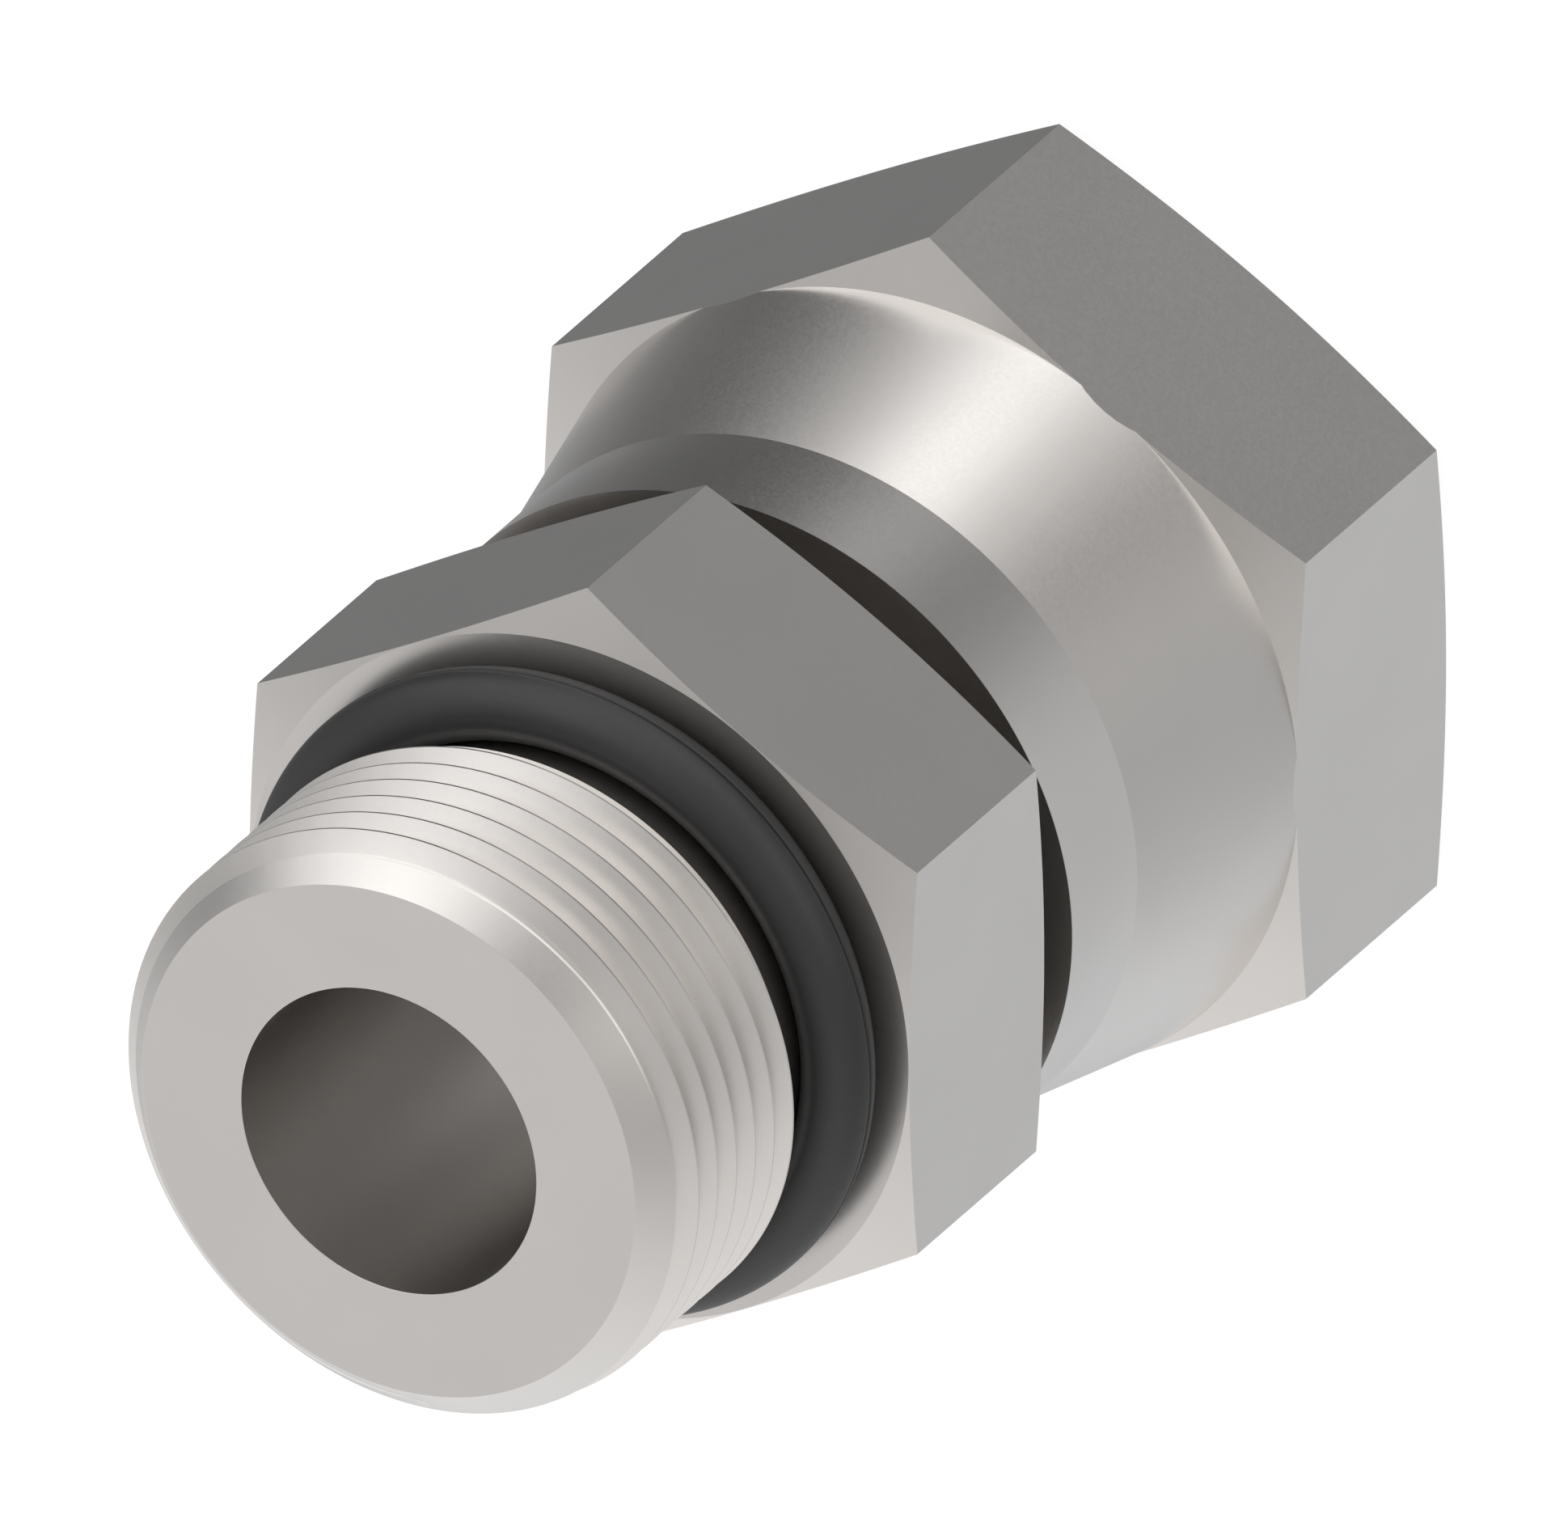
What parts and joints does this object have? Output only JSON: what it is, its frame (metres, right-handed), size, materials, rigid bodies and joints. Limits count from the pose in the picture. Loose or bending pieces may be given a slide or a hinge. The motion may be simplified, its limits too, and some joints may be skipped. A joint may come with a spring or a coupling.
{
  "type": "straight hydraulic adapter",
  "caption": "Straight tube fitting: a threaded port stud with a seal ring, a hexagon body and a swivel pipe nut round a through bore.",
  "frame": {"origin": "centre of the swivel nut's open end face, which the part stands on", "axes": "+Z along the common axis from the nut towards the threaded stud; a corner of each hexagon lies on +X and a flat faces +Y"},
  "size_m": [0.0294, 0.0254, 0.0398],
  "materials": {
    "body_steel": "satin plated",
    "nut_steel": "satin plated",
    "black_rubber": "soft sheen"
  },
  "bodies": {
    "adapter": {"adapter_body": "body_steel", "o_ring": "black_rubber"},
    "nut": {"swivel_nut": "nut_steel"}
  },
  "joints": [
    {"name": "nut_swivel", "type": "hinge", "parent": "adapter", "child": "nut", "pos_m": [0, 0, 0.01625], "axis": [0, 0, 1], "continuous": true}
  ]
}
